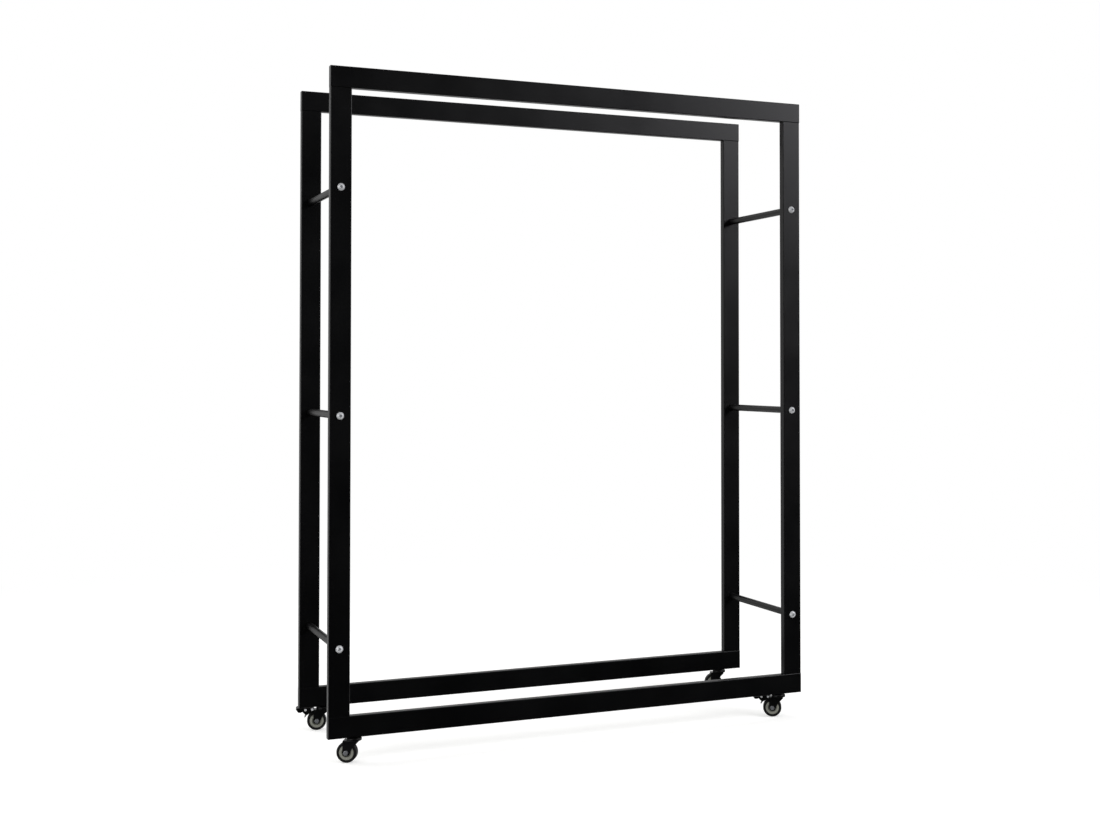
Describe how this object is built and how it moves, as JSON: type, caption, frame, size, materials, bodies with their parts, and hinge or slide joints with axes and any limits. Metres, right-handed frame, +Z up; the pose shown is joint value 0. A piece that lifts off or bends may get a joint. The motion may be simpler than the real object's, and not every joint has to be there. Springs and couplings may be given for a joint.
{
  "type": "firewood rack",
  "caption": "Tall open rack for stacked firewood: front and back steel tube frames joined by round crossbars at the sides, standing on small swivel casters.",
  "frame": {"origin": "centre of the rack's footprint, on the floor under the caster wheels", "axes": "+X along the width to the right as seen from the front, +Y from the front frame to the back frame, +Z up"},
  "size_m": [1.0055, 0.3013, 1.287],
  "materials": {
    "black_powder_coat": "satin",
    "black_painted_sheet": "semi-gloss",
    "black_tyre": "matte",
    "grey_hub_plastic": "satin",
    "bright_zinc": "bright zinc plate",
    "blackened_steel": "black oxide"
  },
  "bodies": {
    "rack": {"back_bottom_rail": "black_powder_coat", "back_bottom_rail_end_plates": "black_powder_coat", "back_crossbar_screws": "bright_zinc", "back_left_upright": "black_powder_coat", "back_right_upright": "black_powder_coat", "back_top_rail": "black_powder_coat", "back_top_rail_end_plates": "black_powder_coat", "caster_race_cups": "black_painted_sheet", "caster_stems": "blackened_steel", "caster_threaded_bushes": "blackened_steel", "front_bottom_rail": "black_powder_coat", "front_bottom_rail_end_plates": "black_powder_coat", "front_crossbar_screws": "bright_zinc", "front_left_upright": "black_powder_coat", "front_right_upright": "black_powder_coat", "front_top_rail": "black_powder_coat", "front_top_rail_end_plates": "black_powder_coat", "left_lower_crossbar": "black_powder_coat", "left_middle_crossbar": "black_powder_coat", "left_upper_crossbar": "black_powder_coat", "right_lower_crossbar": "black_powder_coat", "right_middle_crossbar": "black_powder_coat", "right_upper_crossbar": "black_powder_coat"},
    "front_left_swivel": {"front_left_caster_fork": "black_painted_sheet", "front_left_caster_axle_bolt": "bright_zinc", "front_left_caster_axle_nut": "bright_zinc"},
    "front_left_wheel": {"front_left_caster_wheel_hub": "grey_hub_plastic", "front_left_caster_tyre": "black_tyre"},
    "front_right_swivel": {"front_right_caster_fork": "black_painted_sheet", "front_right_caster_axle_bolt": "bright_zinc", "front_right_caster_axle_nut": "bright_zinc", "front_right_brake_pivot_pin": "bright_zinc"},
    "front_right_wheel": {"front_right_caster_wheel_hub": "grey_hub_plastic", "front_right_caster_tyre": "black_tyre"},
    "front_right_brake": {"front_right_brake_pedal": "black_painted_sheet", "front_right_brake_shoe": "black_painted_sheet", "front_right_brake_shoe_pin": "bright_zinc"},
    "back_left_swivel": {"back_left_caster_fork": "black_painted_sheet", "back_left_caster_axle_bolt": "bright_zinc", "back_left_caster_axle_nut": "bright_zinc", "back_left_brake_pivot_pin": "bright_zinc"},
    "back_left_wheel": {"back_left_caster_wheel_hub": "grey_hub_plastic", "back_left_caster_tyre": "black_tyre"},
    "back_left_brake": {"back_left_brake_pedal": "black_painted_sheet", "back_left_brake_shoe": "black_painted_sheet", "back_left_brake_shoe_pin": "bright_zinc"},
    "back_right_swivel": {"back_right_caster_fork": "black_painted_sheet", "back_right_caster_axle_bolt": "bright_zinc", "back_right_caster_axle_nut": "bright_zinc"},
    "back_right_wheel": {"back_right_caster_wheel_hub": "grey_hub_plastic", "back_right_caster_tyre": "black_tyre"}
  },
  "joints": [
    {"name": "front_left_caster_swivel", "type": "hinge", "parent": "rack", "child": "front_left_swivel", "pos_m": [-0.45, -0.1325, 0.04], "axis": [0, 0, 1], "continuous": true},
    {"name": "front_left_wheel_roll", "type": "hinge", "parent": "front_left_swivel", "child": "front_left_wheel", "pos_m": [-0.46148, -0.1264, 0.019], "axis": [-0.4695, -0.8829, 0], "continuous": true},
    {"name": "front_right_caster_swivel", "type": "hinge", "parent": "rack", "child": "front_right_swivel", "pos_m": [0.45, -0.1325, 0.04], "axis": [0, 0, 1], "continuous": true},
    {"name": "front_right_wheel_roll", "type": "hinge", "parent": "front_right_swivel", "child": "front_right_wheel", "pos_m": [0.43874, -0.126, 0.019], "axis": [-0.5, -0.866, 0], "continuous": true},
    {"name": "front_right_brake_pedal_tilt", "type": "hinge", "parent": "front_right_swivel", "child": "front_right_brake", "pos_m": [0.43098, -0.12152, 0.04234], "axis": [-0.5, -0.866, 0], "range_deg": [0, 12]},
    {"name": "back_left_caster_swivel", "type": "hinge", "parent": "rack", "child": "back_left_swivel", "pos_m": [-0.45, 0.1325, 0.04], "axis": [0, 0, 1], "continuous": true},
    {"name": "back_left_wheel_roll", "type": "hinge", "parent": "back_left_swivel", "child": "back_left_wheel", "pos_m": [-0.46272, 0.1352, 0.019], "axis": [-0.2079, -0.9781, 0], "continuous": true},
    {"name": "back_left_brake_pedal_tilt", "type": "hinge", "parent": "back_left_swivel", "child": "back_left_brake", "pos_m": [-0.47148, 0.13707, 0.04234], "axis": [-0.2079, -0.9781, 0], "range_deg": [0, 12]},
    {"name": "back_right_caster_swivel", "type": "hinge", "parent": "rack", "child": "back_right_swivel", "pos_m": [0.45, 0.1325, 0.04], "axis": [0, 0, 1], "continuous": true},
    {"name": "back_right_wheel_roll", "type": "hinge", "parent": "back_right_swivel", "child": "back_right_wheel", "pos_m": [0.43778, 0.13695, 0.019], "axis": [-0.342, -0.9397, 0], "continuous": true}
  ]
}
